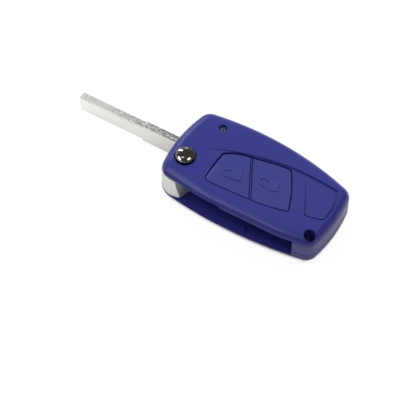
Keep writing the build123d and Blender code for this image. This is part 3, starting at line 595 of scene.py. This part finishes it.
def white_paper(contact_distance, shade_distance):
    """Matt paper that shows white and keeps a faint shadow of the object."""
    material, tree = new_material("white_paper")
    diffuse = node(tree, "BsdfDiffuse", {"Color": linear("bcbcbc")})
    # Little light reaches the paper right under the object and in the keyring hole
    contact = node(tree, "AmbientOcclusion", {"Distance": contact_distance}, samples=8)
    level = node(tree, "MapRange", {"Value": contact.outputs["AO"], "From Min": 0.15,
                                    "From Max": 0.45, "To Min": 0.0, "To Max": 0.91})
    # Seen in a mirror, the paper beside the object lies in the shade of its walls
    beside = node(tree, "AmbientOcclusion", {"Distance": shade_distance}, samples=8)
    shade = node(tree, "MapRange", {"Value": beside.outputs["AO"], "From Min": 0.4,
                                    "From Max": 0.9, "To Min": 0.65, "To Max": 0.0})
    mirrored = node(tree, "LightPath").outputs["Is Glossy Ray"]
    dim = node(tree, "Math", {0: mirrored, 1: shade.outputs[0]}, operation="MULTIPLY")
    kept = node(tree, "Math", {0: 1.0, 1: dim.outputs[0]}, operation="SUBTRACT")
    strength = node(tree, "Math", {0: level.outputs[0], 1: kept.outputs[0]}, operation="MULTIPLY")
    glow = node(tree, "Emission", {"Color": linear("ffffff"), "Strength": strength.outputs[0]})
    shadowed = node(tree, "BsdfDiffuse", {"Color": linear("6c6c6c")})
    lit = node(tree, "AddShader", {0: shadowed.outputs[0], 1: glow.outputs[0]})
    mix = node(tree, "MixShader", {0: seen_directly(tree), 1: diffuse.outputs[0], 2: lit.outputs[0]})
    node(tree, "OutputMaterial", {"Surface": mix.outputs[0]})
    return material


def dark_cloth(radius):
    """Cloth of the dimmed tent round the object, lighter low down on the left and at the rear."""
    material, tree = new_material("dark_cloth")
    place = node(tree, "TexCoord").outputs["Object"]
    part = node(tree, "SeparateXYZ", {"Vector": place})
    colour = linear("5e5a54")
    for side, turn, hue, start in (("X", -1.0, "b4bcc0", 0.0), ("Y", 1.0, "8a8898", 0.3)):
        out = node(tree, "Math", {0: part.outputs[side], 1: turn}, operation="MULTIPLY")
        low = node(tree, "Math", {0: out.outputs[0], 1: part.outputs["Z"]}, operation="SUBTRACT")
        amount = node(tree, "MapRange", {"Value": low.outputs[0], "From Min": start * radius,
                                         "From Max": (start + 0.4) * radius})
        colour = node(tree, "MixRGB", {"Fac": amount.outputs[0], "Color1": colour,
                                       "Color2": linear(hue)}).outputs[0]
    glow = node(tree, "Emission", {"Color": colour, "Strength": 1.0})
    node(tree, "OutputMaterial", {"Surface": glow.outputs[0]})
    return material


def lay_floor(material):
    """A wide flat disc under the object."""
    shape = bmesh.new()
    bmesh.ops.create_circle(shape, cap_ends=True, segments=64, radius=FLOOR_RADIUS)
    to_object("paper_floor", shape, material)


def pitch_tent(radius, material):
    """A half sphere over the object that only mirror reflections see."""
    shape = bmesh.new()
    bmesh.ops.create_uvsphere(shape, u_segments=48, v_segments=24, radius=radius)
    below = [vertex for vertex in shape.verts if vertex.co.z < -MM]
    bmesh.ops.delete(shape, geom=below, context="VERTS")
    tent = to_object("dark_tent", shape, material)
    tent.visible_camera = False
    tent.visible_diffuse = False
    tent.visible_shadow = False
    tent.visible_transmission = False


def hang_sky(scene, strength):
    """An even light from all round, which looks white where it is seen directly."""
    world = bpy.data.worlds.new("white_sky")
    scene.world = world
    world.use_nodes = True
    tree = world.node_tree
    tree.nodes.clear()
    even = node(tree, "Background", {"Color": linear("ffffff"), "Strength": strength})
    white = node(tree, "Background", {"Color": linear("ffffff"), "Strength": 1.0})
    mix = node(tree, "MixShader", {0: seen_directly(tree), 1: even.outputs[0], 2: white.outputs[0]})
    node(tree, "OutputWorld", {"Surface": mix.outputs[0]})


def set_camera(scene, look):
    """The camera, looking down at the object from the front right."""
    camera = bpy.data.objects.new("camera", bpy.data.cameras.new("camera"))
    scene.collection.objects.link(camera)
    camera.data.lens = look.lens
    camera.data.clip_start = NEAREST_SEEN
    a, e = look.azimuth, look.elevation
    back = Vector((sin(a) * cos(e), -cos(a) * cos(e), sin(e)))
    right = Vector((cos(a), sin(a), 0))
    turn = Matrix((right, back.cross(right), back)).transposed().to_4x4()
    camera.matrix_world = Matrix.Translation(look.camera_place) @ turn
    scene.camera = camera


class STAGE_OT_build(bpy.types.Operator):
    """Makes the white floor, the dark tent, the sky, the lights and the camera"""
    bl_idname = "key_shell.stage"
    bl_label = "Stage"

    def execute(self, context):
        scene = context.scene
        look = scene.key_stage
        lay_floor(white_paper(look.contact, look.shade))
        pitch_tent(look.tent_radius, dark_cloth(look.tent_radius))
        hang_sky(scene, look.sky)
        place_lights(look.glint, look.edge_glow, look.soft)
        set_camera(scene, look)
        scene.view_settings.view_transform = "Standard"
        return {"FINISHED"}


class KEY_PT_panel(bpy.types.Panel):
    """Lists the steps that finish the key shell, and their settings"""
    bl_idname = "KEY_PT_panel"
    bl_label = "Key shell"
    bl_space_type = "VIEW_3D"
    bl_region_type = "UI"
    bl_category = "Key shell"

    def draw(self, context):
        for step in STEPS:
            self.layout.operator(step.bl_idname)
        for group in GROUPS:
            settings = getattr(context.scene, group)
            for name in settings.bl_rna.properties.keys():
                if name not in ("rna_type", "name"):
                    self.layout.prop(settings, name)


STEPS = (CASE_OT_finish, BUTTONS_OT_finish, METAL_OT_finish, LENS_OT_finish, STAGE_OT_build)
GROUPS = {"key_case": CaseSettings, "key_buttons": ButtonSettings, "key_metal": MetalSettings,
          "key_lens": LensSettings, "key_stage": StageSettings}


def register():
    for kind in (*GROUPS.values(), *STEPS, KEY_PT_panel):
        bpy.utils.register_class(kind)
    for name, kind in GROUPS.items():
        setattr(bpy.types.Scene, name, bpy.props.PointerProperty(type=kind))


def unregister():
    for name in GROUPS:
        delattr(bpy.types.Scene, name)
    for kind in (KEY_PT_panel, *reversed(STEPS), *GROUPS.values()):
        bpy.utils.unregister_class(kind)


def main():
    register()
    bpy.ops.key_shell.case()
    bpy.ops.key_shell.buttons()
    bpy.ops.key_shell.metal()
    bpy.ops.key_shell.lens()
    bpy.ops.key_shell.stage()


if __name__ == "__main__":
    main()
